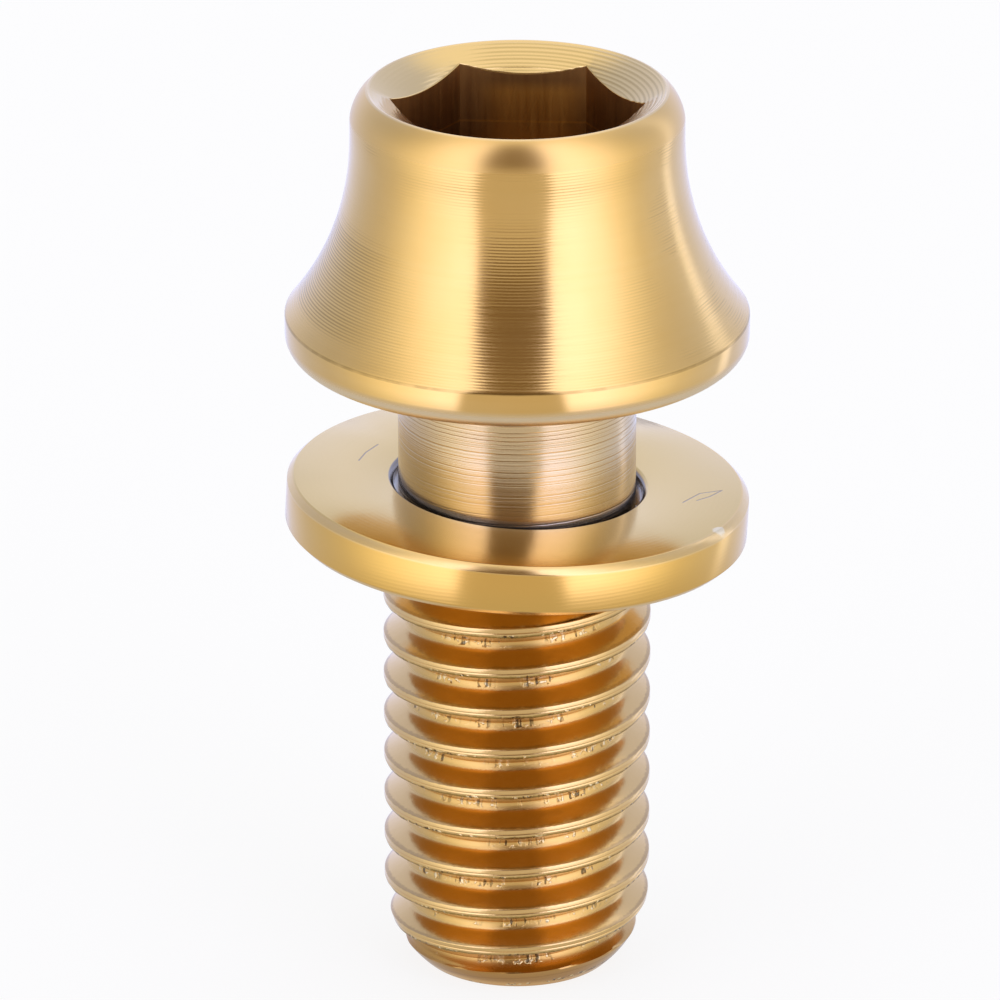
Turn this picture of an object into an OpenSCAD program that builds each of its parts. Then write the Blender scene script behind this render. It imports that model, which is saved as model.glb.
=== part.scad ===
// Bottle cage bolt with a flared head, a hexagon socket and a washer held captive on its neck.
// Sizes are in millimetres and angles in degrees.
// The bolt stands on its tip at the origin, with its axis along +Z.

/* [Thread] */
// Outside diameter of the thread
thread_d = 4.93; // [4.8:0.01:5]
// Rise of the thread in one turn
thread_pitch = 0.8; // [0.7:0.05:0.9]
// Height from the tip to where the thread has run out into the neck
thread_len = 8.83; // [7:0.01:9.2]
// Height of the taper in which the thread runs out
runout_len = 0.85; // [0.6:0.05:1.2]
// Turn of the thread about the axis
thread_turn = 10.8; // [-180:0.1:180]
// Height of the rounded tip
tip_len = 1.5; // [1:0.1:1.8]
// Radius of the tip's rounding, seen from the side
tip_round = 2; // [1.9:0.1:2.4]

/* [Neck] */
// Diameter of the smooth neck
neck_d = 4.36; // [4.2:0.02:4.5]
// Fillet between the neck and the head
neck_fillet = 0.2; // [0.1:0.05:0.25]

/* [Head] */
// Length from the tip to the underside of the head
shank_len = 12; // [11.5:0.5:16]
// Height of the head
head_h = 5; // [4.8:0.1:5.4]
// Largest diameter of the head
head_d = 8.48; // [8:0.02:9]
// Rounding of the head's lower edge
edge_round = 0.5; // [0.2:0.05:0.6]
// Diameter of the head's narrow waist
waist_d = 6.07; // [5.9:0.01:6.3]
// Depth of the waist below the top of the head
waist_drop = 0.9; // [0.8:0.05:1.1]
// Radius of the hollow flank, seen from the side
flank_round = 5.34; // [5:0.02:5.6]
// Rounding of the rim
rim_round = 0.77; // [0.6:0.01:0.8]

/* [Socket] */
// Size of the hexagon key, across its flats
key_size = 4; // [3:0.5:4]
// Depth of the socket's flats below the top of the head
socket_depth = 2.6; // [2:0.1:3]
// Diameter of the socket's mouth
mouth_d = 5.42; // [5:0.02:5.6]
// Slope of the mouth's countersink
mouth_slope = 30; // [20:1:45]
// Turn of the socket about the axis
socket_turn = -3; // [-30:1:30]

/* [Washer] */
// Outside diameter of the washer
washer_d = 8.5; // [7.5:0.1:10]
// Thickness of the washer
washer_t = 0.95; // [0.8:0.05:1.2]
// Gap around the neck in the washer's bore
bore_gap = 0.12; // [0.08:0.01:0.16]
// Chamfer on the washer's outer edges
washer_edge = 0.12; // [0.05:0.01:0.2]
// Chamfer on the upper edge of the bore
bore_edge = 0.08; // [0.04:0.01:0.15]
// Gap between the thread and the washer's flat seat
seat_gap = 0.135; // [0.1:0.005:0.2]
// Gap at which the bore comes to rest on the thread's run-out
rest_gap = 0.05; // [0.03:0.01:0.07]
// Tilt of the washer where it rests on the thread
washer_tilt = 2.9; // [0:0.1:4]

/* [Hidden] */
$fn = 96;

// The thread's 60 degree groove, its depth and crest as shares of the pitch
thread_r = thread_d / 2;
groove_half_angle = 30;
depth_share = 0.57;
crest_share = 0.25;
groove_depth = thread_pitch * depth_share;
groove_half_w = thread_pitch * (1 - crest_share) / 2;
floor_r = thread_r - groove_depth;
floor_half_w = groove_half_w - groove_depth * tan(groove_half_angle);
runout_z = thread_len - runout_len;
// The helix starts a little over a turn below the tip and ends as far inside the neck
helix_step = 10;
helix_steps = 360 / helix_step;
helix_lead = 360 + 4 * helix_step;
helix_last = helix_step * ceil((360 * thread_len / thread_pitch + helix_lead) / helix_step);

neck_r = neck_d / 2;
// The thread's blank is a little thinner than the neck where they meet
blank_step = 0.02;
blank_r = neck_r - blank_step;
head_top = shank_len + head_h;
waist_r = waist_d / 2;
waist_z = head_top - waist_drop;
mouth_r = mouth_d / 2;
rim_centre_r = waist_r - rim_round;
rim_z = head_top - sqrt(rim_round ^ 2 - (mouth_r - rim_centre_r) ^ 2);

key_corner_r = key_size / 2 / cos(30);
// The countersink's cone goes on to a point inside the hexagon
mouth_end_r = key_size / 4;
mouth_depth = (mouth_r - mouth_end_r) * tan(mouth_slope);
drill_slope = 30;
drill_point_h = key_size / 2 * tan(drill_slope);

washer_r = washer_d / 2;
bore_r = neck_r + bore_gap;
seat_r = thread_r + seat_gap;
seat_chamfer = seat_r - bore_r;
// The lower edge of the bore stops where the run-out taper is this wide, on the washer's low side
rest_r = bore_r - rest_gap;
rest_z = thread_len - (rest_r - neck_r) * runout_len / (thread_r - neck_r);
washer_z = rest_z + (washer_t / 2 - seat_chamfer) * cos(washer_tilt) + bore_r * sin(washer_tilt);

// What is left of a square corner outside its rounding, with the arc's centre at the origin
module corner(radius) {
    difference() {
        square(radius);
        circle(radius);
    }
}

// Half section of the head without its socket
module head_outline() {
    difference() {
        translate([0, shank_len]) square([head_d / 2, head_h]);
        translate([waist_r + flank_round, waist_z]) circle(flank_round);
        translate([waist_r, waist_z]) square([flank_round, head_h]);
        translate([rim_centre_r, rim_z]) corner(rim_round);
        translate([head_d / 2 - edge_round, shank_len + edge_round]) mirror([0, 1]) corner(edge_round);
    }
}

// Half section of the smooth neck
module neck_outline() {
    translate([0, thread_len]) square([neck_r, shank_len - thread_len]);
    translate([neck_r + neck_fillet, shank_len - neck_fillet]) mirror([1, 0]) corner(neck_fillet);
}

// Radius at a height of what would be r on the full thread: rounded at the tip, run out at the neck
function on_blank(r, z) =
    let (
        round_rise = sqrt(max(0, tip_round ^ 2 - max(0, tip_len - z) ^ 2)),
        runout = min(1, max(0, (z - runout_z) / runout_len))
    )
    min(r * (1 - runout) + blank_r * runout, thread_r - tip_round + round_rise);

function helix_point(angle, r, rise) =
    let (z = thread_pitch * angle / 360 + rise, blank = on_blank(r, z))
    [blank * cos(angle), blank * sin(angle), z];

// Points across one ridge of the thread: floor, crest, crest and floor
function ridge(angle) = [
    helix_point(angle, floor_r, floor_half_w),
    helix_point(angle, thread_r, groove_half_w),
    helix_point(angle, thread_r, thread_pitch - groove_half_w),
    helix_point(angle, floor_r, thread_pitch - floor_half_w)
];

// The threaded shank: ridges along the helix, each joined to the next turn's ridge across the groove's floor
module thread() {
    across = len(ridge(0));
    edge = across - 1;
    ridges = [for (angle = [-helix_lead:helix_step:helix_last]) each ridge(angle)];
    turn = across * helix_steps;
    last = len(ridges) - across;
    bottom = len(ridges);
    top = bottom + 1;
    points = concat(ridges, [[0, 0, ridges[0].z], [0, 0, ridges[last].z]]);
    strips = [
        for (a = [0:across:last - across], i = [0:edge])
            let (low = a + i, high = i < edge ? low + 1 : a + turn)
            if (high < len(ridges) - across)
                each [[low, high, low + across], [high, high + across, low + across]]
    ];
    lower_end = concat(
        [for (a = [0:across:turn - across]) [bottom, a, a + across]],
        [for (i = [0:edge - 1]) [bottom, i + 1, i]],
        [[bottom, turn, edge]]
    );
    upper_end = concat(
        [for (a = [last - turn:across:last - across]) [top, a + across + edge, a + edge]],
        [for (i = [0:edge - 1]) [top, last + i, last + i + 1]],
        [[top, last - turn + edge, last]]
    );
    intersection() {
        rotate(thread_turn) polyhedron(points, concat(strips, lower_end, upper_end));
        cylinder(r = thread_d, h = shank_len);
    }
}

// Hexagon socket with a countersunk mouth and a drilled floor
module socket() {
    translate([0, 0, head_top - mouth_depth])
        cylinder(r1 = mouth_end_r, r2 = mouth_r, h = mouth_depth);
    translate([0, 0, head_top - socket_depth])
        rotate(socket_turn) cylinder(r = key_corner_r, h = socket_depth, $fn = 6);
    translate([0, 0, head_top - socket_depth - drill_point_h])
        cylinder(r1 = 0, r2 = key_size / 2, h = drill_point_h);
}

module bolt() {
    color("goldenrod") difference() {
        union() {
            rotate_extrude() {
                head_outline();
                neck_outline();
            }
            thread();
        }
        socket();
    }
}

// Half section of the washer, with its underside at zero
module washer_outline() {
    polygon([
        [bore_r, seat_chamfer],
        [seat_r, 0],
        [washer_r - washer_edge, 0],
        [washer_r, washer_edge],
        [washer_r, washer_t - washer_edge],
        [washer_r - washer_edge, washer_t],
        [bore_r + bore_edge, washer_t],
        [bore_r, washer_t - bore_edge]
    ]);
}

module washer() {
    color("khaki")
        translate([0, 0, washer_z]) rotate([0, washer_tilt, 0]) translate([0, 0, -washer_t / 2])
            rotate_extrude() washer_outline();
}

bolt();
washer();
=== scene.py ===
# %% [markdown]
# # A bottle cage bolt
# A small gold bolt stands on its tip. It has a flared head with a hexagon socket, a smooth neck,
# a rolled thread and a loose washer that can slide on the neck. Two real pieces make two meshes
# here: the bolt, which is turned from one bar, and the washer.
#
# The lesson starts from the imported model, which gives every piece its place. All lengths below are
# written in millimetres and turned into Blender's metres with MM.

# %% Load the frame
import math

import bmesh
import bpy
from mathutils import Matrix, Vector, noise


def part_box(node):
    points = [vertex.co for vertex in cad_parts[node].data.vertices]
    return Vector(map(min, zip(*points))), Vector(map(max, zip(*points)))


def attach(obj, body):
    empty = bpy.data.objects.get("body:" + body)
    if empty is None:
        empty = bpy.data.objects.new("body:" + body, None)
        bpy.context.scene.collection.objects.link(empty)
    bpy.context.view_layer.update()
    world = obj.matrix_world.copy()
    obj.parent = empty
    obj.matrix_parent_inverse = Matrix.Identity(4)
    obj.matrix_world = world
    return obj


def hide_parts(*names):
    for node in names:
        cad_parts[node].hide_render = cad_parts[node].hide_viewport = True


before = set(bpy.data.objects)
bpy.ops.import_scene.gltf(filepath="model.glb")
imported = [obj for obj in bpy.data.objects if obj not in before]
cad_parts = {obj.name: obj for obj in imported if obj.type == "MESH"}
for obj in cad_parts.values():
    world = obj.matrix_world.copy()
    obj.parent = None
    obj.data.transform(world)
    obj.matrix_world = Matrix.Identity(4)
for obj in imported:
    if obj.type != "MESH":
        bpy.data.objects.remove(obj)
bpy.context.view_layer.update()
MM = 0.001

bolt_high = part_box("bolt")[1]
washer_low, washer_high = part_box("washer")

# %% [markdown]
# ## The camera
# The picture was taken with a long lens from a little above, so the outlines hardly converge.
# A camera on the -Y side, raised by about 22 degrees, gives the same ellipses on the socket's mouth
# and on the washer. Its distance and lens come from the length of the thread in the picture.

# %% Place the camera
CAMERA_RISE = math.radians(21.94)
CAMERA_DISTANCE = 170
CAMERA_LENS = 333.4
SENSOR = 36
AIM_LEFT = 0.314
AIM_HEIGHT = 9.0


def place_camera():
    back = Vector((0, -math.cos(CAMERA_RISE), math.sin(CAMERA_RISE)))
    aim = Vector((-AIM_LEFT, 0, AIM_HEIGHT)) * MM
    data = bpy.data.cameras.new("camera")
    data.sensor_width = SENSOR
    data.lens = CAMERA_LENS
    data.clip_start = 1 * MM
    camera = bpy.data.objects.new("camera", data)
    camera.location = aim + back * CAMERA_DISTANCE * MM
    camera.rotation_euler = back.to_track_quat("Z", "Y").to_euler()
    bpy.context.collection.objects.link(camera)
    bpy.context.scene.camera = camera
    return camera


camera = place_camera()
print("camera at", [round(c / MM, 1) for c in camera.location])

# %% [markdown]
# ## A pen for turned sections
# The head and the neck are turned on a lathe, so their shape is a half section swept round the axis.
# The section could be typed in as a long list of points. It is clearer to draw it as a draughtsman
# does: a pen goes straight or round a centre. Each straight run is an extruded vertex and each arc is
# a vertex that bmesh spins about the arc's centre.

# %% The pen
ROUND_STEPS = 120
MERGE = 0.0005


class Pen:
    """Draws a half section in the XZ plane, in millimetres: x is the radius and z the height."""

    def __init__(self, bm, radius, height):
        self.bm = bm
        self.point = bm.verts.new((radius * MM, 0, height * MM))

    def run(self, radius, height):
        made = bmesh.ops.extrude_vert_indiv(self.bm, verts=[self.point])
        self.point = made["verts"][0]
        self.point.co = (radius * MM, 0, height * MM)
        return made["edges"][0]

    def arc(self, centre_radius, centre_height, degrees, steps):
        centre = (centre_radius * MM, 0, centre_height * MM)
        made = bmesh.ops.spin(
            self.bm, geom=[self.point], cent=centre, axis=(0, 1, 0),
            angle=math.radians(degrees), steps=steps,
        )
        self.point = made["geom_last"][0]

    def rounded(self, corner, after, rounding, steps=4):
        """Runs to a corner and round it, so that the pen heads for the point after it."""
        corner = Vector(corner)
        inward = (corner - self.point.co.xz / MM).normalized()
        turn = inward.angle_signed((Vector(after) - corner).normalized())
        start = corner - inward * rounding * math.tan(abs(turn) / 2)
        self.run(*start)
        centre = start + Vector((inward.y, -inward.x)) * math.copysign(rounding, turn)
        self.arc(*centre, math.degrees(turn), steps)


def sweep_round(bm):
    """Turns the drawn section once about the axis and closes its seam and poles."""
    bmesh.ops.spin(
        bm, geom=bm.verts[:] + bm.edges[:], cent=(0, 0, 0), axis=(0, 0, 1), angle=math.tau,
        steps=ROUND_STEPS, use_merge=True,
    )
    bmesh.ops.remove_doubles(bm, verts=bm.verts, dist=MERGE * MM)


def radius_of(point):
    return math.hypot(point.x, point.y) / MM


def ring_edges(bm, radius, height, slack=0.002):
    """Edges that lie along the circle of this radius and height."""
    def on_ring(vert):
        return abs(radius_of(vert.co) - radius) < slack and abs(vert.co.z / MM - height) < slack

    return [edge for edge in bm.edges if on_ring(edge.verts[0]) and on_ring(edge.verts[1])]


print("sections are swept in", ROUND_STEPS, "steps of", 360 / ROUND_STEPS, "degrees")

# %% [markdown]
# ## The head and the neck
# The head flares out like a bell: a rounded rim that ends in a faint crease, a hollow flank of one large
# arc, a short upright band and a rounded lower edge. Below it a small fillet leads into the neck. The
# section starts at the bottom of the socket, on the axis, and ends where the thread begins.

# %% Sizes of the head and the neck
HEAD_TOP = bolt_high.z / MM
SHANK = 12.0
HEAD_R = 4.24
EDGE_ROUND = 0.37
WAIST_R = 3.035
WAIST_Z = HEAD_TOP - 0.9
FLANK_ROUND = 5.34
CREASE_Z = HEAD_TOP - 0.56
CREASE_TILT = math.radians(7)
MOUTH_R = 2.71
NECK_R = 2.18
NECK_FILLET = 0.2
THREAD_LEN = 8.83
THREAD_JOIN = 0.04
KEY_HALF = 2.0
SOCKET_FLOOR = HEAD_TOP - 2.6
SOCKET_TURN = math.radians(-3)
MOUTH_SLOPE = math.radians(30)
DRILL_SLOPE = math.radians(30)
DRILL_R = 1.95

rim_w = WAIST_R - MOUTH_R
rim_h = HEAD_TOP - CREASE_Z
rim_round = (rim_w ** 2 + rim_h ** 2) / 2 / (rim_w * math.cos(CREASE_TILT) - rim_h * math.sin(CREASE_TILT))
rim_centre_r = WAIST_R - rim_round * math.cos(CREASE_TILT)
rim_centre_z = CREASE_Z - rim_round * math.sin(CREASE_TILT)
rim_turn = math.acos((MOUTH_R - rim_centre_r) / rim_round) - CREASE_TILT
flank_turn = math.acos((WAIST_R + FLANK_ROUND - HEAD_R) / FLANK_ROUND)
band_z = WAIST_Z - FLANK_ROUND * math.sin(flank_turn)
print("rim radius", round(rim_round, 3), "flank ends at", round(band_z, 3), "mm")

# %% [markdown]
# The socket's wall is drawn as a round one first. Once it is swept, its rings are pushed out to a
# hexagon. A step of 3 degrees puts a vertex on each corner, so the corners come out sharp.

# %% Draw and sweep the section
RIM_STEPS = 14
FLANK_STEPS = 40
EDGE_STEPS = 10
FILLET_STEPS = 6


def mouth_height(radius):
    """Height of the countersink's cone at a radius."""
    return HEAD_TOP - (MOUTH_R - radius) * math.tan(MOUTH_SLOPE)


def head_and_neck():
    bm = bmesh.new()
    pen = Pen(bm, 0, SOCKET_FLOOR - DRILL_R * math.tan(DRILL_SLOPE))
    pen.run(DRILL_R, SOCKET_FLOOR)
    pen.run(KEY_HALF, SOCKET_FLOOR)
    pen.run(KEY_HALF, mouth_height(KEY_HALF))
    pen.run(MOUTH_R, HEAD_TOP)
    pen.arc(rim_centre_r, rim_centre_z, math.degrees(rim_turn), RIM_STEPS)
    pen.run(WAIST_R, WAIST_Z)
    pen.arc(WAIST_R + FLANK_ROUND, WAIST_Z, -math.degrees(flank_turn), FLANK_STEPS)
    pen.run(HEAD_R, SHANK + EDGE_ROUND)
    pen.arc(HEAD_R - EDGE_ROUND, SHANK + EDGE_ROUND, 90, EDGE_STEPS)
    pen.run(NECK_R + NECK_FILLET, SHANK)
    pen.arc(NECK_R + NECK_FILLET, SHANK - NECK_FILLET, -90, FILLET_STEPS)
    pen.run(NECK_R, THREAD_LEN + THREAD_JOIN)
    sweep_round(bm)
    return bm


bolt_bm = head_and_neck()
print("head and neck:", len(bolt_bm.faces), "faces")

# %% [markdown]
# ## The hexagon socket
# A key socket is punched or broached after the blind hole is drilled, and its mouth is countersunk.
# The wall's rings move out to the six flats, and the upper ring also rises along the countersink, which
# gives the pointed arches that the hexagon cuts into the cone.

# %% Push the wall out to a hexagon
def hexagon_radius(point):
    sixth = math.radians(60)
    angle = (math.atan2(point.y, point.x) - SOCKET_TURN) % sixth - sixth / 2
    return KEY_HALF / math.cos(angle)


def shape_socket(bm):
    floor_ring = ring_edges(bm, KEY_HALF, SOCKET_FLOOR)
    arch_ring = ring_edges(bm, KEY_HALF, mouth_height(KEY_HALF))
    arch_verts = {vert for edge in arch_ring for vert in edge.verts}
    for vert in {vert for edge in floor_ring for vert in edge.verts} | arch_verts:
        radius = hexagon_radius(vert.co)
        vert.co.x *= radius / KEY_HALF
        vert.co.y *= radius / KEY_HALF
        if vert in arch_verts:
            vert.co.z = mouth_height(radius) * MM
    return arch_ring


def soften(bm, edges, width, segments=2):
    bmesh.ops.bevel(
        bm, geom=edges, offset=width * MM, offset_type="OFFSET", segments=segments, profile=0.5,
        affect="EDGES", material=-1,
    )


ARCH_SOFT = 0.02
MOUTH_SOFT = 0.025
BAND_SOFT = 0.02
arch_edges = shape_socket(bolt_bm)
soften(bolt_bm, arch_edges, ARCH_SOFT)
soften(bolt_bm, ring_edges(bolt_bm, MOUTH_R, HEAD_TOP), MOUTH_SOFT)
soften(bolt_bm, ring_edges(bolt_bm, HEAD_R, band_z), BAND_SOFT)
print("with its socket:", len(bolt_bm.faces), "faces")

# %% [markdown]
# ## The thread
# The thread is rolled: dies press the grooves in, and the metal flows up into ridges. Where the two
# flows meet, a fine seam stays along the middle of the crest. The floor of each groove is a round hollow
# that bends smoothly out of the ridge below and meets the ridge above in a small corner. A plain V would
# be simpler, but only the hollow shows the bright band close under each ridge. The pen draws one pitch
# of the section, from floor to floor.

# %% Draw one ridge
THREAD_R = 2.465
PITCH = 0.8
GROOVE_HALF = 0.39 * PITCH
FLANK_SLOPE = math.radians(30)
ROOT_ROUND = 0.2
ROOT_STEPS = 10
ROOT_CORNER = 0.02
ROOT_LIFT = 0.05
UPPER_SOFT = 0.03
LOWER_SOFT = 0.05
LOWER_DROP = 0.02
SEAM_HALF = 0.02
SEAM_DEPTH = 0.012
SEAM_SOFT = 0.01
FLANK_CUTS = 6


def ridge_section(bm):
    """One pitch of the thread, from the floor of a groove to the floor of the next."""
    vertex_r = THREAD_R - GROOVE_HALF / math.tan(FLANK_SLOPE)
    floor_r = vertex_r + ROOT_ROUND - ROOT_LIFT / math.tan(FLANK_SLOPE)
    root_turn = math.pi / 2 - FLANK_SLOPE
    flank_end = (
        floor_r + ROOT_ROUND * (1 - math.cos(root_turn)),
        PITCH + ROOT_LIFT - ROOT_ROUND * math.sin(root_turn),
    )
    corners = [
        (floor_r, (floor_r - vertex_r) * math.tan(FLANK_SLOPE), ROOT_CORNER),
        (THREAD_R - LOWER_DROP, GROOVE_HALF, LOWER_SOFT),
        (THREAD_R, PITCH / 2 - SEAM_HALF, SEAM_SOFT),
        (THREAD_R - SEAM_DEPTH, PITCH / 2, SEAM_SOFT),
        (THREAD_R, PITCH / 2 + SEAM_HALF, SEAM_SOFT),
        (THREAD_R, PITCH - GROOVE_HALF, UPPER_SOFT),
    ]
    nexts = [corner[:2] for corner in corners[1:]] + [flank_end]
    pen = Pen(bm, floor_r, ROOT_LIFT)
    for (radius, height, soft), after in zip(corners, nexts):
        pen.rounded((radius, height), after, soft)
    pen.run(*flank_end)
    pen.arc(floor_r + ROOT_ROUND, PITCH + ROOT_LIFT, math.degrees(root_turn), ROOT_STEPS)
    flanks = [edge for edge in bm.edges if edge.calc_length() > ROOT_ROUND * MM]
    bmesh.ops.subdivide_edges(bm, edges=flanks, cuts=FLANK_CUTS)


thread_bm = bmesh.new()
ridge_section(thread_bm)
print("ridge section:", len(thread_bm.verts), "points")

# %% [markdown]
# A helix is a turn with a rise. A spin with a small rise per step carries the section once round. One long
# spin could go on to the top, but it gets slow, so copies of the first turn are stacked instead. As each
# shares its edges with the next, merging the doubles makes one skin.

# %% Sweep the ridge up the helix
THREAD_TURN = math.radians(10.8)
TURNS_BELOW = 2
TURNS = 13


def sweep_helix(bm):
    lift = Matrix.Translation((0, 0, -TURNS_BELOW * PITCH * MM))
    bmesh.ops.transform(bm, matrix=Matrix.Rotation(THREAD_TURN, 4, "Z") @ lift, verts=bm.verts)
    bmesh.ops.spin(
        bm, geom=bm.verts[:] + bm.edges[:], cent=(0, 0, 0), axis=(0, 0, 1),
        dvec=(0, 0, PITCH * MM / ROUND_STEPS), angle=math.tau, steps=ROUND_STEPS,
    )
    one_turn = bm.verts[:] + bm.edges[:] + bm.faces[:]
    for turn in range(1, TURNS):
        made = bmesh.ops.duplicate(bm, geom=one_turn)["geom"]
        verts = [item for item in made if isinstance(item, bmesh.types.BMVert)]
        bmesh.ops.translate(bm, vec=(0, 0, turn * PITCH * MM), verts=verts)
    bmesh.ops.remove_doubles(bm, verts=bm.verts, dist=MERGE * MM)


sweep_helix(thread_bm)
print("thread:", len(thread_bm.faces), "faces")

# %% [markdown]
# The ends of the thread come next. The skin is cut level at the tip and at the neck. On the rounded tip the
# ridges sink with the blank and keep their form, until they fade close to the end. Near the neck they run
# out. Both depend only on a vertex's radius and height, so each vertex just moves towards the axis.

# %% Cut the thread and shape its ends
TIP_LEN = 1.5
TIP_ROUND = 2.0
TIP_FADE_LOW = 0.45
TIP_FADE_HIGH = 0.85
RUNOUT_LEN = 0.85
CUT_SLACK = 0.0001


def limited_radius(radius, height):
    """Radius on the tip and the run-out of what has this radius on the full thread."""
    drop = TIP_ROUND - math.sqrt(TIP_ROUND ** 2 - max(0, TIP_LEN - height) ** 2)
    kept = min(1, max(0, (height - TIP_FADE_LOW) / (TIP_FADE_HIGH - TIP_FADE_LOW)))
    runout = min(1, max(0, (height - THREAD_LEN) / RUNOUT_LEN + 1))
    return min(radius * (1 - runout) + NECK_R * runout - drop * kept, THREAD_R - drop)


def trim_thread(bm):
    for height, normal in ((0, (0, 0, -1)), (THREAD_LEN, (0, 0, 1))):
        bmesh.ops.bisect_plane(
            bm, geom=bm.verts[:] + bm.edges[:] + bm.faces[:], dist=CUT_SLACK * MM,
            plane_co=(0, 0, height * MM), plane_no=normal, clear_outer=True,
        )
    for vert in bm.verts:
        radius = radius_of(vert.co)
        share = limited_radius(radius, vert.co.z / MM) / radius
        vert.co.x *= share
        vert.co.y *= share


trim_thread(thread_bm)
print("trimmed thread:", len(thread_bm.faces), "faces")

# %% [markdown]
# Rolling tears the lower edge of the crest here and there. That edge is found by its phase, which counts
# from 0 to 1 between the middles of two grooves and is the same all along the helix. A slow noise then
# moves it up and down by up to two hundredths of a millimetre.

# %% Fray the crest's lower edge
BURR_LIFT = 0.02
BURR_SCALE = 3.5
BURR_FROM = 0.4
FRAYED = (0.36, 0.46)


def fray_crest(bm):
    for vert in bm.verts:
        height = vert.co.z / MM
        turn = math.atan2(vert.co.y, vert.co.x) - THREAD_TURN
        phase = (height / PITCH - turn / math.tau) % 1
        if FRAYED[0] < phase < FRAYED[1] and BURR_FROM < height < THREAD_LEN - RUNOUT_LEN:
            vert.co.z += BURR_LIFT * noise.noise(vert.co / MM * BURR_SCALE) * MM


fray_crest(thread_bm)
print("the crest's edge is frayed by up to", BURR_LIFT, "mm")

# %% [markdown]
# Now the thread is joined to the neck, and the tip gets its flat end. A bridge closes the narrow gap
# between the two rings, and a fill closes the tip.

# %% Join the bolt into one skin
def boundary_near(bm, height, slack=0.1):
    return [
        edge for edge in bm.edges
        if edge.is_boundary and all(abs(vert.co.z / MM - height) < slack for vert in edge.verts)
    ]


def join_thread(bm, thread):
    swap = bpy.data.meshes.new("swap")
    thread.to_mesh(swap)
    thread.free()
    bm.from_mesh(swap)
    bpy.data.meshes.remove(swap)
    bmesh.ops.bridge_loops(bm, edges=boundary_near(bm, THREAD_LEN))
    bmesh.ops.edgeloop_fill(bm, edges=boundary_near(bm, 0))
    bmesh.ops.recalc_face_normals(bm, faces=bm.faces)


join_thread(bolt_bm, thread_bm)
open_edges = [edge for edge in bolt_bm.edges if not edge.is_manifold]
print("bolt:", len(bolt_bm.faces), "faces,", len(open_edges), "open edges")

# %% [markdown]
# ## The washer
# The washer is a plain turned ring with broken edges. It hangs askew on the start of the thread, so its
# mesh is tilted by about 3 degrees. Its rubbed outer edge isn't perfectly even: a slow noise moves the
# chamfer's rings by a few thousandths of a millimetre.

# %% Sweep and tilt the washer
WASHER_R = 4.25
WASHER_T = 0.95
BORE_R = 2.3
SEAT_R = 2.6
WASHER_EDGE = 0.12
BORE_EDGE = 0.08
WASHER_TILT = math.radians(2.9)
WASHER_SOFT = 0.012
RUB_DEPTH = 0.008
RUB_SCALE = 0.9
washer_z = (washer_low.z + washer_high.z) / 2 / MM


def rub_edge(bm):
    """Wears the two outer chamfers by a slow noise round the rim."""
    for vert in bm.verts:
        radius = radius_of(vert.co)
        if radius > WASHER_R - WASHER_EDGE - WASHER_SOFT:
            wear = RUB_DEPTH * (0.5 + 0.5 * noise.noise(vert.co / MM * RUB_SCALE))
            vert.co.x *= 1 - wear / radius
            vert.co.y *= 1 - wear / radius


def make_washer():
    bm = bmesh.new()
    half = WASHER_T / 2
    pen = Pen(bm, BORE_R, SEAT_R - BORE_R - half)
    first = pen.point
    pen.run(SEAT_R, -half)
    pen.run(WASHER_R - WASHER_EDGE, -half)
    pen.run(WASHER_R, WASHER_EDGE - half)
    pen.run(WASHER_R, half - WASHER_EDGE)
    pen.run(WASHER_R - WASHER_EDGE, half)
    pen.run(BORE_R + BORE_EDGE, half)
    pen.run(BORE_R, half - BORE_EDGE)
    bm.edges.new((pen.point, first))
    corners = [(radius_of(vert.co), vert.co.z / MM) for vert in bm.verts]
    sweep_round(bm)
    edges = [edge for radius, height in corners for edge in ring_edges(bm, radius, height)]
    soften(bm, edges, WASHER_SOFT)
    rub_edge(bm)
    tilt = Matrix.Rotation(WASHER_TILT, 4, "Y")
    bmesh.ops.transform(bm, matrix=Matrix.Translation((0, 0, washer_z * MM)) @ tilt, verts=bm.verts)
    bmesh.ops.recalc_face_normals(bm, faces=bm.faces)
    return bm


washer_bm = make_washer()
print("washer:", len(washer_bm.faces), "faces, middle at", round(washer_z, 3), "mm")

# %% [markdown]
# ## Shader sums
# The finishes are worked out from each point's place on the piece. Shader maths reads best as ordinary
# sums, so a small class wraps a socket: adding two of them adds a Math node.

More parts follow.
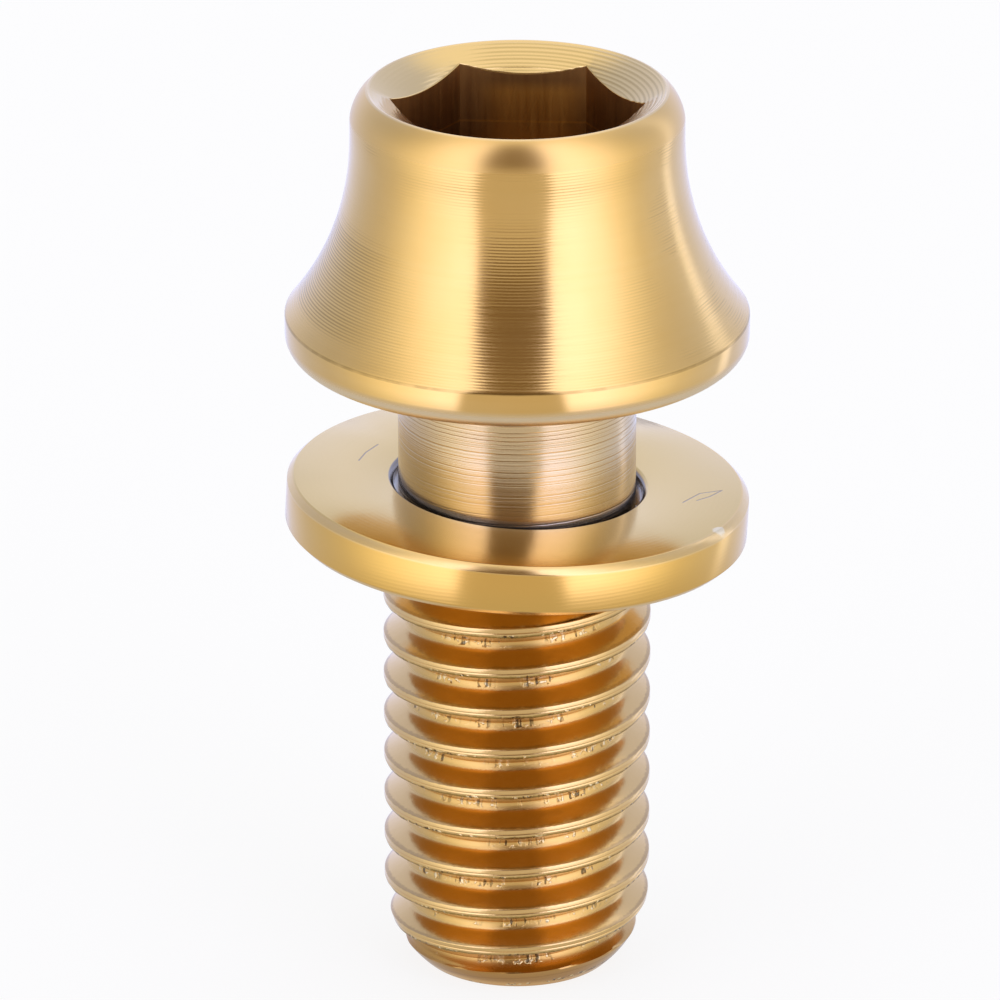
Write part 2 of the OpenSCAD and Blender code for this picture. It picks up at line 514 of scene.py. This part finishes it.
# %% A socket that can be used in sums
class Value:
    """One output of a shader tree, for use in Python expressions."""

    def __init__(self, tree, socket=None):
        self.tree = tree
        self.socket = socket

    def node(self, kind, settings=None, inputs=None, output=0):
        made = self.tree.nodes.new(kind)
        for name, setting in (settings or {}).items():
            if name == "stops":
                self.set_stops(made.color_ramp, setting)
            else:
                setattr(made, name, setting)
        for name, given in (inputs or {}).items():
            if isinstance(given, Value):
                self.tree.links.new(given.socket, made.inputs[name])
            else:
                made.inputs[name].default_value = given
        return Value(self.tree, made.outputs[output])

    def other(self, output):
        """Another output of the node that this one comes from."""
        return Value(self.tree, self.socket.node.outputs[output])

    @staticmethod
    def set_stops(ramp, stops):
        while len(ramp.elements) < len(stops):
            ramp.elements.new(1)
        for element, (position, colour) in zip(ramp.elements, stops):
            element.position = position
            element.color = colour

    def math(self, operation, *others):
        inputs = {0: self}
        inputs.update({index + 1: other for index, other in enumerate(others)})
        return self.node("ShaderNodeMath", {"operation": operation}, inputs)

    def __add__(self, other):
        return self.math("ADD", other)

    __radd__ = __add__

    def __mul__(self, other):
        return self.math("MULTIPLY", other)

    __rmul__ = __mul__

    def __sub__(self, other):
        return self.math("SUBTRACT", other)

    def __rsub__(self, other):
        return self.node("ShaderNodeMath", {"operation": "SUBTRACT"}, {0: other, 1: self})

    def __truediv__(self, other):
        return self.math("DIVIDE", other)

    def step(self, start, end):
        """0 below start, 1 above end and a smooth rise between; start may be the larger one."""
        return self.node(
            "ShaderNodeMapRange", {"interpolation_type": "SMOOTHSTEP"},
            {"Value": self, "From Min": start, "From Max": end},
        )

    def band(self, rise, fall):
        """1 between two smooth edges, each given as the start and end of a step."""
        return self.step(*rise) * self.step(*fall)

    def noise(self, scale, detail=2.0, dimensions="1D"):
        place = "W" if dimensions == "1D" else "Vector"
        return self.node(
            "ShaderNodeTexNoise", {"noise_dimensions": dimensions},
            {place: self, "Scale": scale, "Detail": detail},
        )

    def mix(self, low, high):
        """Blends two colours by this value."""
        return self.node("ShaderNodeMix", {"data_type": "RGBA"}, {0: self, 6: low, 7: high}, 2)

    def scaled(self, x, y, z):
        return self.node("ShaderNodeVectorMath", {"operation": "MULTIPLY"}, {0: self, 1: (x, y, z)})


print("sums on sockets are ready")

# %% [markdown]
# ## A finish and its place
# Every finish here is a metal with a thin gold coating. The class below starts such a material and
# gives the point's place in millimetres: its height, its distance from the axis and its direction
# round the axis. The lathe's lines run round the piece, so the gloss is drawn out across them, which is
# the shader's anisotropy.

# %% Start a gold finish
ACROSS_LINES = 0.25


class Finish:
    """A coated metal whose look follows the place on the piece, in millimetres."""

    def __init__(self, name, roughness, anisotropy):
        self.material = bpy.data.materials.new(name)
        self.material.use_nodes = True
        tree = self.material.node_tree
        self.shader = tree.nodes["Principled BSDF"]
        self.shader.inputs["Metallic"].default_value = 1
        self.shader.inputs["Roughness"].default_value = roughness
        self.shader.inputs["Anisotropic"].default_value = anisotropy
        self.shader.inputs["Anisotropic Rotation"].default_value = ACROSS_LINES
        start = Value(tree)
        self.place = start.node("ShaderNodeTexCoord", output="Object").scaled(1 / MM, 1 / MM, 1 / MM)
        self.x = self.place.node("ShaderNodeSeparateXYZ", inputs={0: self.place}, output="X")
        self.y = self.x.other("Y")
        self.z = self.x.other("Z")
        self.radius = (self.x * self.x + self.y * self.y).math("SQRT")
        self.around = self.x.math("ARCTAN2", 0 - self.y)

    def link(self, socket, value):
        self.material.node_tree.links.new(value.socket, self.shader.inputs[socket])

    def bump(self, height, depth):
        """Raises the surface by height times depth millimetres."""
        self.link("Normal", height.node("ShaderNodeBump", {}, {"Distance": depth * MM, "Height": height}))


print("a finish starts from its place in millimetres")

# %% [markdown]
# ## The turned flank and the rim
# The lathe's tool leaves rings some hundredths of a millimetre apart. They are too fine to model, but
# where the reflection changes from dark to bright they show as a fringe of thin lines. A sine along the
# section is the tool's feed, a one-dimensional noise is its chatter, and a bump turns both into grooves.
# The coating hides them in places, so on the sides they show in patches, and there they are also painted
# dark, as painted shade. The rim above the crease is smooth, a dark line runs along the corner over the
# band, and the lip of the mouth gets a thin painted highlight.

# %% The finish of the flank and the rim
GOLD = (0.83, 0.53, 0.18, 1)
PALE_GOLD = (0.86, 0.57, 0.22, 1)
UNDER_PALE = (0.92, 0.74, 0.5, 1)
LIP_HIGHLIGHT_AND_WORN_PALE = (0.88, 0.64, 0.32, 1)
EDGE_DARK = (0.3, 0.19, 0.06, 1)
FEED = 0.056
FEED_DEPTH = 0.0035


def turning_lines(along, spacing):
    """Uneven rings: a regular feed and a chatter, both along the section."""
    feed = (along * (math.tau / spacing)).math("SINE") * 0.5 + 0.5
    return feed * 0.5 + along.noise(1 / spacing, 1) * 0.5


def along_flank(finish):
    """Distance along the head's section, measured on the flank's arc."""
    drop = WAIST_Z - finish.z
    return drop.math("ARCTAN2", WAIST_R + FLANK_ROUND - finish.radius) * FLANK_ROUND


def line_patches(finish):
    """Where the lines on the sides show: plainly low on the left, and at random elsewhere."""
    low_left = finish.x.step(-1.6, -2.4) * (finish.z - SHANK).band((0.8, 1.2), (3.2, 2.4))
    return (finish.place.noise(0.8, 2, "3D").step(0.45, 0.62) * 0.6).math("MAXIMUM", low_left)


def head_finish():
    finish = Finish("turned_gold", 0.2, 0.5)
    along = along_flank(finish)
    rim = finish.z.step(CREASE_Z - 0.02, CREASE_Z + 0.05)
    flank = finish.z.step(band_z, band_z + 0.03) * (1 - rim)
    sideways = finish.x.math("ABSOLUTE") / finish.radius
    patches = line_patches(finish)
    plain = patches.math("MAXIMUM", sideways.step(0.55, 0.3))
    lines = turning_lines(along, FEED) * flank * (0.35 + 0.65 * plain)
    stain = finish.place.noise(0.5, 3, "3D").step(0.35, 0.7)
    shade = (stain * 0.6 + along.noise(9, 2) * 0.4).mix(GOLD, PALE_GOLD)
    # Painted shade: on the sides, as seen from the camera, the turning lines are painted dark.
    side = sideways.step(0.62, 0.9) * patches
    shade = (side * lines.step(0.35, 0.7) * 0.55).mix(shade, EDGE_DARK)
    nicked = finish.place.noise(3, 2, "3D").step(0.3, 0.7)
    corner = (finish.z - band_z).math("ABSOLUTE").step(0.035, 0.015) * (0.3 + 0.25 * nicked)
    shade = corner.mix(shade, EDGE_DARK)
    under = finish.z.step(SHANK + 0.4, SHANK + 0.2)
    shade = under.mix(shade, UNDER_PALE)
    # Painted highlight: the outer side of the mouth's lip is painted pale.
    lip = finish.radius.step(MOUTH_R + 0.05, MOUTH_R + 0.02)
    lip = lip * finish.z.step(HEAD_TOP - 0.06, HEAD_TOP - 0.03)
    finish.link("Base Color", lip.mix(shade, LIP_HIGHLIGHT_AND_WORN_PALE))
    finish.link("Roughness", 0.13 + 0.14 * along.noise(16, 2) * flank + 0.2 * under + 0.18 * rim)
    finish.bump(lines, FEED_DEPTH)
    return finish.material


flank_gold = head_finish()
print("finish of the flank and the rim:", flank_gold.name)

# %% [markdown]
# ## The countersunk mouth
# The countersink's rings are coarser than the flank's, and they are plainest on the right. A noise on the
# radius disturbs their spacing, so that no two gaps are alike, and the edge of the mouth is painted pale as
# a painted highlight.

# %% The finish of the mouth
MOUTH_GOLD = (0.82, 0.58, 0.25, 1)
RING_DARK = (0.5, 0.34, 0.12, 1)
MOUTH_FEED = 0.08
MOUTH_DEPTH = 0.008


def mouth_finish():
    finish = Finish("countersunk_gold", 0.2, 0.4)
    uneven = finish.radius + finish.radius.noise(4, 1) * MOUTH_FEED
    shown = 0.3 + 0.7 * finish.x.step(-1.4, -0.3)
    lines = turning_lines(uneven, MOUTH_FEED) * shown
    shade = (lines.step(0.35, 0.75) * 0.6).mix(MOUTH_GOLD, RING_DARK)
    # Painted highlight: the inner side of the mouth's lip is painted pale.
    lip = finish.radius.step(MOUTH_R - 0.05, MOUTH_R - 0.02)
    finish.link("Base Color", lip.mix(shade, LIP_HIGHLIGHT_AND_WORN_PALE))
    finish.link("Roughness", 0.14 + 0.1 * lines)
    finish.bump(lines, MOUTH_DEPTH)
    return finish.material


mouth_gold = mouth_finish()
print("finish of the mouth:", mouth_gold.name)

# %% [markdown]
# ## The socket's walls
# A broach goes straight down, so it leaves upright streaks. A noise that is drawn out along the height
# makes them. The walls are painted dark brown as painted shade, since little light falls into the socket,
# with an amber glow low on the far flat as a painted reflection, and a thin line where the broach stopped
# once.

# %% The finish of the socket
SOCKET_SHADE = (0.38, 0.21, 0.07, 1)
SOCKET_DEEP_SHADE = (0.24, 0.13, 0.06, 1)
SOCKET_AMBER = (0.76, 0.41, 0.09, 1)
STOP_DEPTH = 1.34
STREAK_DEPTH = 0.006


def socket_finish():
    finish = Finish("broached_painted_shade", 0.3, 0)
    streaks = finish.place.scaled(1, 1, 0.08).noise(9, 3, "3D")
    # Painted shade: the walls' dark brown stands in for the shade deep in the socket.
    shade = streaks.mix(SOCKET_DEEP_SHADE, SOCKET_SHADE)
    depth = HEAD_TOP - finish.z
    stop_mark = (depth - STOP_DEPTH).math("ABSOLUTE").step(0.03, 0.01)
    # Painted reflection: an amber glow low on the far flat.
    far_flat = finish.y.step(1.5, 1.9) * finish.x.band((-0.9, -0.1), (1.5, 0.7))
    glow = far_flat * depth.step(0.5, 0.8)
    finish.link("Base Color", (glow * 0.8 + stop_mark * 0.3).mix(shade, SOCKET_AMBER))
    finish.link("Roughness", 0.24 + 0.2 * streaks)
    finish.bump(streaks, STREAK_DEPTH)
    return finish.material


socket_painted_shade = socket_finish()
print("finish of the socket:", socket_painted_shade.name)

# %% [markdown]
# ## The neck
# The neck is paler than the head and shows deeper cuts from a coarser tool. They could be a plain sine, but
# the real ones wander and fade, so noises shift and thin them. Just above the washer a narrow ring of the
# coating is rubbed through to the grey metal.

# %% The finish of the neck
CHAMPAGNE = (0.82, 0.61, 0.35, 1)
CHAMPAGNE_DEEP = (0.72, 0.6, 0.42, 1)
LINE_BROWN = (0.4, 0.26, 0.13, 1)
BARE_METAL = (0.75, 0.7, 0.64, 1)
RUBBED_H = 0.06
NECK_FEED = 0.09
NECK_WANDER = 0.04
NECK_UNEVEN = 9
NECK_DEPTH = 0.004


def above_washer(finish):
    """Height over the washer's tilted upper face."""
    return finish.z + finish.x * math.tan(WASHER_TILT) - (washer_z + WASHER_T / 2 / math.cos(WASHER_TILT))


def neck_finish():
    finish = Finish("turned_champagne", 0.25, 0.5)
    depth = SHANK - finish.z
    wander = finish.place.scaled(1, 1, 0.3).noise(1.8, 3, "3D")
    along = finish.z + wander * NECK_WANDER
    wave = (along * (math.tau / NECK_FEED) + along.noise(4, 1) * NECK_UNEVEN).math("SINE")
    cuts = wave.step(0.55, 0.98) * along.noise(7, 1).step(0.3, 0.65) * depth.step(0.22, 0.35)
    cuts = cuts * (0.4 + 0.6 * depth.step(2, 1))
    chatter = along.noise(24, 2)
    shade = depth.step(0.5, 2.2).mix(CHAMPAGNE, CHAMPAGNE_DEEP)
    shade = (cuts * 0.4).mix(shade, LINE_BROWN)
    height = above_washer(finish)
    rubbed = (height / RUBBED_H).band((-2, -1), (1.3, 0.8))
    finish.link("Base Color", rubbed.mix(shade, BARE_METAL))
    finish.link("Roughness", 0.16 + 0.12 * chatter)
    finish.bump(chatter * 0.5 - cuts, NECK_DEPTH)
    return finish.material


neck_champagne = neck_finish()
print("finish of the neck:", neck_champagne.name)

# %% [markdown]
# ## The rolled thread
# The colour of the thread changes across each ridge. The crest is burnished by the dies and bright, with an
# olive lower edge and a thin dark line on its upper one. The olive edge and the flank below the crest face
# down and are painted darker, the flank in amber, as painted shade. The flank above it and the root are
# gold, and the end of the tip is painted darker as painted shade too. Painting each band on its own faces
# could do it, but the bands must blend, so the shader works out the same phase as the frayed edge did and
# sets the colours by it.

# %% Colours across the ridge
CREST_GOLD = (0.86, 0.58, 0.25, 1)
UPPER_FLANK = (0.84, 0.55, 0.22, 1)
LOWER_FLANK_SHADE = (0.43, 0.19, 0.02, 1)
ROOT_GOLD = (0.78, 0.5, 0.17, 1)
CREST_UNDERSIDE_SHADE = (0.4, 0.26, 0.07, 1)
TIP_SHADE = (0.42, 0.19, 0.04, 1)
TIP_EDGE = (0.78, 0.43, 0.12, 1)
OLIVE_FROM = (0.34, 0.38)
CREST_FROM = (0.41, 0.45)
UPPER_FROM = (0.62, 0.65)
CREST_LINE = ((0.6, 0.62), (0.67, 0.64))


def helix_phase(finish):
    """0 in the middle of a groove and 0.5 in the middle of a crest, all along the thread."""
    turn = finish.around - (math.pi / 2 + THREAD_TURN)
    return (finish.z / PITCH - turn / math.tau).math("FRACT")


def ridge_shade(finish, phase, root):
    # Painted shade: the crest's lower edge and the flank below it face down and are painted darker than the
    # gold above.
    shade = phase.step(*CREST_FROM).mix(CREST_UNDERSIDE_SHADE, CREST_GOLD)
    shade = phase.step(*OLIVE_FROM).mix(LOWER_FLANK_SHADE, shade)
    shade = phase.step(*UPPER_FROM).mix(shade, UPPER_FLANK)
    shade = root.mix(shade, ROOT_GOLD)
    crest_line = phase.band(*CREST_LINE)
    shade = (crest_line * 0.5).mix(shade, LINE_BROWN)
    # Painted shade: the lowest part of the tip is darkened, and its very edge is a less dark gold.
    shade = (finish.z.step(0.9, 0.2) * 0.8).mix(shade, TIP_SHADE)
    return finish.z.step(0.2, 0.08).mix(shade, TIP_EDGE)


print("the crest's colour starts at a phase of", CREST_FROM[1])

# %% [markdown]
# Rolling also leaves small pale burrs and upright dark dents, in clusters, in the root and along the lower
# edge of the crest. One coarse noise picks where the clusters are, and finer ones make the marks.

# %% The finish of the thread
BURR_PALE = (0.94, 0.76, 0.45, 1)
DENT_DARK = (0.06, 0.04, 0.025, 1)
THREAD_DEPTH = 0.01
ROOT_ENDS = ((0.13, 0.08), (0.86, 0.96))
TORN_ROOT = ((0.14, 0.1), (0.94, 0.98))
TORN_EDGE = ((0.33, 0.36), (0.46, 0.42))


def in_groove(phase, ends):
    """1 in the middle of a groove, which is where one count of the phase ends and the next starts."""
    return phase.step(*ends[0]) + phase.step(*ends[1])


def torn_places(finish, phase):
    torn = in_groove(phase, TORN_ROOT) + phase.band(*TORN_EDGE)
    return torn * finish.place.noise(1.6, 2, "3D").step(0.44, 0.58)


def thread_finish():
    finish = Finish("rolled_gold", 0.2, 0)
    grain = finish.place.noise(5, 3, "3D")
    fine = finish.place.noise(13, 2, "3D")
    phase = helix_phase(finish) + (fine - 0.5) * 0.05
    root = in_groove(phase, ROOT_ENDS)
    torn = torn_places(finish, phase)
    burrs = torn * finish.place.noise(11, 1, "3D").step(0.55, 0.65)
    dents = torn * finish.place.scaled(1, 1, 0.3).noise(12, 1, "3D").step(0.42, 0.34)
    shade = burrs.mix(ridge_shade(finish, phase, root), BURR_PALE)
    # The dents are painted near black.
    finish.link("Base Color", (dents * 0.8).mix(shade, DENT_DARK))
    finish.link("Roughness", 0.14 + 0.1 * grain + 0.16 * root)
    finish.bump(grain * 0.3 + burrs - dents, THREAD_DEPTH)
    return finish.material


thread_gold = thread_finish()
print("finish of the thread:", thread_gold.name)

# %% [markdown]
# ## The washer's scratches
# Two hairline scratches cross the washer's upper face. An image could hold them, but a shader can draw a
# scratch as well: it is where the distance to a few short straight lines is small.

# %% Distance to a scratch
SCRATCH_PATHS = [
    [(-2.91, 0.62), (-2.79, 1.03), (-2.57, 1.46)],
    [(3.03, -0.7), (3.35, -0.22), (3.76, -0.02), (3.53, -0.35), (3.29, -0.57)],
]
SCRATCH_HALF = 0.02


def near_line(finish, start, end):
    """Distance in millimetres from the straight line between two points, seen from above."""
    run = Vector(end) - Vector(start)
    x = finish.x - start[0]
    y = finish.y - start[1]
    share = ((x * run.x + y * run.y) / run.length_squared).math("MAXIMUM", 0).math("MINIMUM", 1)
    off_x = x - share * run.x
    off_y = y - share * run.y
    return (off_x * off_x + off_y * off_y).math("SQRT")


def scratches(finish):
    lines = [near_line(finish, *ends) for path in SCRATCH_PATHS for ends in zip(path, path[1:])]
    nearest = lines[0]
    for line in lines[1:]:
        nearest = nearest.math("MINIMUM", line)
    return nearest.step(SCRATCH_HALF, SCRATCH_HALF / 2)


print(len(SCRATCH_PATHS), "scratches of half width", SCRATCH_HALF, "mm")

# %% [markdown]
# ## The washer's finish
# The washer is turned like the head, with rings on its faces and finer ones round its rim. Its upper face
# is painted paler than the rest, a painted sheen. Handling has rubbed its edges pale, its bore's edge is
# bare, and one scuff shows at the right of the rim.

# %% The washer's finish
WASHER_GOLD = (0.86, 0.53, 0.15, 1)
WASHER_TOP_SHEEN = (0.8, 0.55, 0.2, 1)
SCRATCH = (0.3, 0.24, 0.17, 1)
BARE_DARK = (0.3, 0.27, 0.24, 1)
SCUFF_ENDS = ((3.69, -1.88), (3.63, -2.0))
SCUFF_HALF = 0.12
FACE_FEED = 0.1
RIM_FEED = 0.07
WASHER_DEPTH = 0.0015


def washer_finish():
    finish = Finish("washer_gold", 0.2, 0.4)
    height = above_washer(finish)
    upper = height.step(-0.04, -0.015)
    rim = finish.radius.step(WASHER_R - WASHER_EDGE - 0.03, WASHER_R - WASHER_EDGE + 0.01)
    mottle = finish.place.noise(2.2, 4, "3D")
    nicks = finish.place.noise(6, 3, "3D")
    lines = turning_lines(finish.radius, FACE_FEED) * upper
    lines = lines + turning_lines(finish.z, RIM_FEED) * (1 - upper)
    # Painted sheen: the upper face is paler than the rim, the sides and the lower face.
    shade = (upper * (1 - rim)).mix(WASHER_GOLD, WASHER_TOP_SHEEN)
    worn = height.step(-0.16, -0.12) * rim * (0.6 + 0.4 * nicks)
    worn = worn + height.step(-WASHER_T + 0.12, -WASHER_T + 0.04)
    shade = (worn * 0.7).math("MINIMUM", 1).mix(shade, LIP_HIGHLIGHT_AND_WORN_PALE)
    scuff = near_line(finish, *SCUFF_ENDS) + nicks * 0.15
    shade = (scuff.step(SCUFF_HALF * 1.5, SCUFF_HALF) * height.step(-0.3, -0.12)).mix(shade, BURR_PALE)
    marks = scratches(finish) * upper
    bare = finish.radius.step(BORE_R + BORE_EDGE, BORE_R + BORE_EDGE / 2)
    finish.link("Base Color", (marks * 0.8).mix(bare.mix(shade, BARE_DARK), SCRATCH))
    finish.link("Roughness", 0.12 + 0.06 * lines + 0.08 * mottle)
    finish.bump(lines * 0.4 + mottle * 0.1 - marks, WASHER_DEPTH)
    return finish.material


worn_gold = washer_finish()
print("finish of the washer:", worn_gold.name)

# %% [markdown]
# ## The two pieces
# Each bmesh becomes an object that sits at the origin. The bolt's faces are sorted into its finishes by
# where they lie, and edges sharper than 30 degrees stay crisp under smooth shading.

# %% Make the objects
CRISP = math.radians(30)
FLANK, MOUTH, SOCKET, NECK, THREAD = range(5)


def bolt_zone(centre):
    radius = radius_of(centre)
    height = centre.z / MM
    if height < THREAD_LEN:
        return THREAD
    if height < SHANK:
        return NECK
    if radius < MOUTH_R and height > SOCKET_FLOOR - DRILL_R:
        return MOUTH if height > mouth_height(radius) - ARCH_SOFT else SOCKET
    return FLANK


def make_piece(name, bm, materials, node):
    mesh = bpy.data.meshes.new(name)
    for face in bm.faces:
        face.smooth = True
    bm.to_mesh(mesh)
    bm.free()
    mesh.set_sharp_from_angle(angle=CRISP)
    for material in materials:
        mesh.materials.append(material)
    piece = bpy.data.objects.new(name, mesh)
    bpy.context.collection.objects.link(piece)
    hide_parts(node)
    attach(piece, node)
    return piece


for face in bolt_bm.faces:
    face.material_index = bolt_zone(face.calc_center_median())
bolt_finishes = [flank_gold, mouth_gold, socket_painted_shade, neck_champagne, thread_gold]
bolt_piece = make_piece("cage_bolt", bolt_bm, bolt_finishes, "bolt")
washer_piece = make_piece("captive_washer", washer_bm, [worn_gold], "washer")
for piece in (bolt_piece, washer_piece):
    piece.data.calc_loop_triangles()
    print(piece.name, "has", len(piece.data.loop_triangles), "triangles")

# %% [markdown]
# ## The studio
# Polished metal shows its surroundings, so the light has to stand where the real lights stood. The bolt
# was in a white tent with the camera looking in through a gap: the gap is the dark stripe down the
# middle of every round surface, a soft lamp on each side of it is a bright stripe, and the tent's sides
# are dimmer. The back of the tent is cooler than its sides, and that is why the edges of a gold bolt can
# look almost silver. TENT lists the light in degrees from the camera, with the left side negative.

# %% The light round the object
TENT = [
    (-180, 1.02),
    (-165, 0.85),
    (-146, 0.74),
    (-127, 0.63),
    (-108, 0.63),
    (-94, 0.71),
    (-81, 0.9),
    (-66, 1.2),
    (-52, 1.45),
    (-38, 1.65),
    (38, 1.75),
    (56, 1.5),
    (71, 1.15),
    (86, 0.84),
    (100, 0.74),
    (117, 0.72),
    (121, 1.22),
    (126, 1.22),
    (131, 0.74),
    (146, 0.77),
    (165, 0.85),
    (180, 1.02),
]
LAMP = 1.2
LAMP_COOL = 0.6
COOL = (1, 1.13, 1.7)
COOL_FROM = 85
COOL_TO = 135


def tent_colour(turn, light):
    """The lamps' cores and the tent's back are cooler than its sides."""
    back = min(1, max(0, (abs(turn) - COOL_FROM) / (COOL_TO - COOL_FROM)))
    core = LAMP_COOL * max(0, light - LAMP)
    red, green, blue = (light * (1 + back * (cool - 1)) for cool in COOL)
    return red, green, blue * (1 + core), 1


tent_stops = [((turn + 180) / 360, tent_colour(turn, light)) for turn, light in TENT]
print("tent with", len(tent_stops), "stops of light round the object")

# %% [markdown]
# Lamps could stand round the object, but a world that depends on the direction does the same and lights
# without noise. It lays the stops round the object, darkens the gap, adds a lamp overhead that leans to
# the back, and gives the even light of the table from below. The camera itself sees plain white.

# %% Light the tent
SIDE_DIM = 0.15
SIDE_RISE = (0, 0.5)
SIDE_TURN = (50, 90)
GAP_TURN = -2.6
GAP_HALF = 22.4
GAP_SOFT = 3
GAP_LEAN = 12
GAP_RISE = (0, 0.25)
GAP_LOW = (0.66, 0.62, 0.56, 1)
GAP_HIGH = (0.21, 0.154, 0.105, 1)
OVERHEAD = (1.08, 1.08, 1.1, 1)
OVERHEAD_LEAN = 0.25
OVERHEAD_FROM = (0.8, 0.94)
TABLE = (0.61, 0.6, 0.58, 1)
TABLE_FROM = (-0.28, -0.62)
WHITE = (1, 1, 1, 1)


def light_tent():
    world = bpy.data.worlds.new("tent")
    bpy.context.scene.world = world
    world.use_nodes = True
    tree = world.node_tree
    start = Value(tree)
    direction = start.node("ShaderNodeTexCoord", output="Generated")
    x = start.node("ShaderNodeSeparateXYZ", inputs={0: direction}, output="X")
    rise = x.other("Z")
    degrees = x.math("ARCTAN2", 0 - x.other("Y")) * math.degrees(1)
    tent = start.node("ShaderNodeValToRGB", {"stops": tent_stops}, {0: degrees / 360 + 0.5})
    dimmer = 1 - SIDE_DIM * rise.step(*SIDE_RISE) * degrees.math("ABSOLUTE").step(*SIDE_TURN)
    tent = tent.node("ShaderNodeVectorMath", {"operation": "SCALE"}, {"Vector": tent, "Scale": dimmer})
    gap_edge = (degrees - GAP_TURN).math("ABSOLUTE") + rise.math("MINIMUM", 0) * GAP_LEAN
    gap = gap_edge.step(GAP_HALF + GAP_SOFT, GAP_HALF - GAP_SOFT)
    tent = gap.mix(tent, rise.step(*GAP_RISE).mix(GAP_LOW, GAP_HIGH))
    above = (rise + x.other("Y") * OVERHEAD_LEAN).step(*OVERHEAD_FROM)
    tent = above.mix(tent, OVERHEAD)
    tent = rise.step(*TABLE_FROM).mix(tent, TABLE)
    seen = start.node("ShaderNodeLightPath", output="Is Camera Ray").mix(tent, WHITE)
    tree.links.new(seen.socket, tree.nodes["Background"].inputs["Color"])


light_tent()
print("the world lights the object from every side")

# %% [markdown]
# ## The floor
# The floor is a plain pale sheet that takes the soft shadow under the tip. More light would make it
# white, but it would also wash out the bolt. So most of its white is a glow that only the camera sees,
# and the rest is lit and keeps the shadow. It is hidden from reflections, which see the tent instead.

# %% Lay the floor
FLOOR_HALF_WIDTH = 300
FLOOR_ROUGH = 0.9
FLOOR_WHITE = (0.92, 0.9, 0.84, 1)
FLOOR_GLOW = 0.85


def lay_floor():
    bm = bmesh.new()
    bmesh.ops.create_grid(bm, x_segments=1, y_segments=1, size=FLOOR_HALF_WIDTH * MM)
    mesh = bpy.data.meshes.new("floor")
    bm.to_mesh(mesh)
    bm.free()
    material = bpy.data.materials.new("floor_white")
    material.use_nodes = True
    tree = material.node_tree
    shader = tree.nodes["Principled BSDF"]
    shader.inputs["Base Color"].default_value = FLOOR_WHITE
    shader.inputs["Roughness"].default_value = FLOOR_ROUGH
    shader.inputs["Specular IOR Level"].default_value = 0
    start = Value(tree)
    glow = start.node("ShaderNodeEmission", inputs={"Color": WHITE})
    share = start.node("ShaderNodeLightPath", output="Is Camera Ray") * FLOOR_GLOW
    plain = Value(tree, shader.outputs[0])
    blend = start.node("ShaderNodeMixShader", inputs={0: share, 1: plain, 2: glow})
    tree.links.new(blend.socket, tree.nodes["Material Output"].inputs["Surface"])
    mesh.materials.append(material)
    floor = bpy.data.objects.new("floor", mesh)
    floor.visible_glossy = False
    bpy.context.collection.objects.link(floor)


lay_floor()
bpy.context.scene.view_settings.view_transform = "Standard"
print("floor laid, colours shown as they are")
